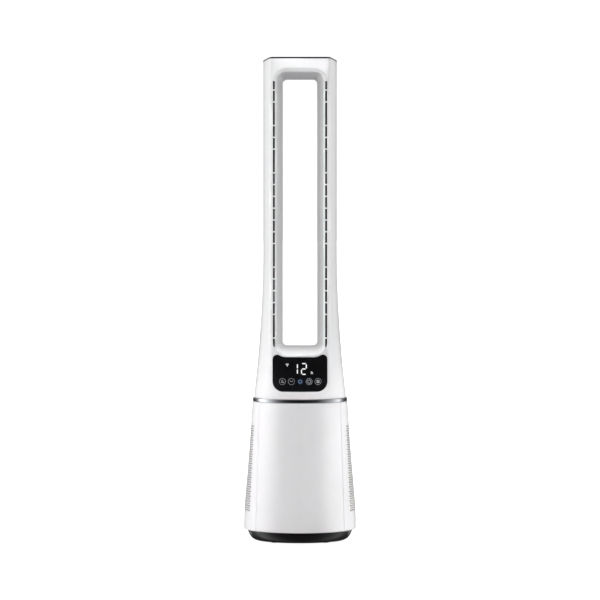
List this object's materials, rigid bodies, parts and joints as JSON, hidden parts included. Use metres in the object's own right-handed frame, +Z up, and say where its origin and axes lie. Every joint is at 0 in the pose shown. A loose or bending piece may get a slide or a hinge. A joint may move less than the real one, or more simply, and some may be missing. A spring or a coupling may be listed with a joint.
{
  "type": "tower fan",
  "caption": "Bladeless tower fan: tapered white base with a filter and blower, swivelling hollow column that blows air through slots beside a tall window, black touch display.",
  "frame": {"origin": "on the floor, at the bottom centre of the base, on the swivel axis", "axes": "+Z up, along the height; the front, where the air comes out, faces -Y; +X is to the right as seen from the front"},
  "size_m": [0.252, 0.252, 1.0859],
  "materials": {
    "white_gloss": "glossy moulded ABS",
    "white_satin": "satin moulded ABS",
    "black_gloss": "polished black acrylic",
    "black_satin": "satin black ABS",
    "chrome": "polished plated trim",
    "rubber": "matt black rubber",
    "grey_plastic": "moulded grey polypropylene",
    "acetal": "natural acetal",
    "steel": "zinc-plated steel",
    "copper": "enamelled copper windings",
    "circuit_board": "green solder mask",
    "filter_paper": "pleated glass-fibre paper",
    "fabric": "fine woven mesh"
  },
  "bodies": {
    "base": {"base_tray": "black_satin", "foot_1": "rubber", "foot_2": "rubber", "foot_3": "rubber", "foot_4": "rubber", "base_screw_1": "steel", "base_screw_2": "steel", "base_screw_3": "steel", "base_screw_4": "steel", "filter_seat": "grey_plastic", "cord_gland": "rubber", "power_board": "circuit_board", "motor_harness": "rubber", "rear_housing": "white_gloss", "filter_bottom_frame": "white_satin", "filter_top_frame": "white_satin", "prefilter_sleeve": "fabric", "filter_core": "grey_plastic", "filter_pleats": "filter_paper", "filter_pull_tab": "fabric", "intake_deck": "grey_plastic", "blower_shroud": "grey_plastic", "duct_seal": "rubber", "deck_post_1": "grey_plastic", "deck_post_2": "grey_plastic", "deck_post_3": "grey_plastic", "diffuser": "grey_plastic", "motor_stator": "copper", "lower_bearing": "steel", "upper_bearing": "steel", "turntable_base": "grey_plastic", "slide_ring": "acetal", "chrome_ring": "chrome", "swivel_motor": "steel"},
    "head": {"head_front_shell": "white_gloss", "head_rear_shell": "white_gloss", "nozzle_liner": "white_gloss", "top_cap": "black_gloss", "flow_splitter": "grey_plastic", "display_lens": "black_gloss", "display_board": "circuit_board", "digit_module": "grey_plastic", "touch_pad_1": "rubber", "touch_pad_2": "rubber", "touch_pad_3": "rubber", "touch_pad_4": "rubber", "touch_pad_5": "rubber", "display_cable": "rubber", "shell_screw_1": "steel", "shell_screw_2": "steel", "shell_screw_3": "steel", "shell_screw_4": "steel", "swivel_hub": "grey_plastic", "retaining_ring": "steel", "sector_gear": "acetal"},
    "pinion": {"drive_pinion": "acetal"},
    "fan_wheel": {"impeller": "grey_plastic", "motor_shaft": "steel", "motor_rotor": "steel"},
    "panel": {"front_panel": "white_gloss"}
  },
  "joints": [
    {"name": "head_swivel", "type": "hinge", "parent": "base", "child": "head", "pos_m": [0, 0, 0.316], "axis": [0, 0, 1], "range_deg": [-40, 40]},
    {"name": "pinion_spin", "type": "hinge", "parent": "base", "child": "pinion", "pos_m": [0, 0.084, 0.316], "axis": [0, 0, 1], "range_deg": [-335, 335]},
    {"name": "impeller_spin", "type": "hinge", "parent": "base", "child": "fan_wheel", "pos_m": [0, 0, 0.221], "axis": [0, 0, 1], "continuous": true},
    {"name": "panel_removal", "type": "slide", "parent": "base", "child": "panel", "axis": [0, -1, 0], "range_m": [0, 0.15]}
  ],
  "couplings": [
    {"joint": "pinion_spin", "follows": "head_swivel", "ratio": -8.3333}
  ]
}
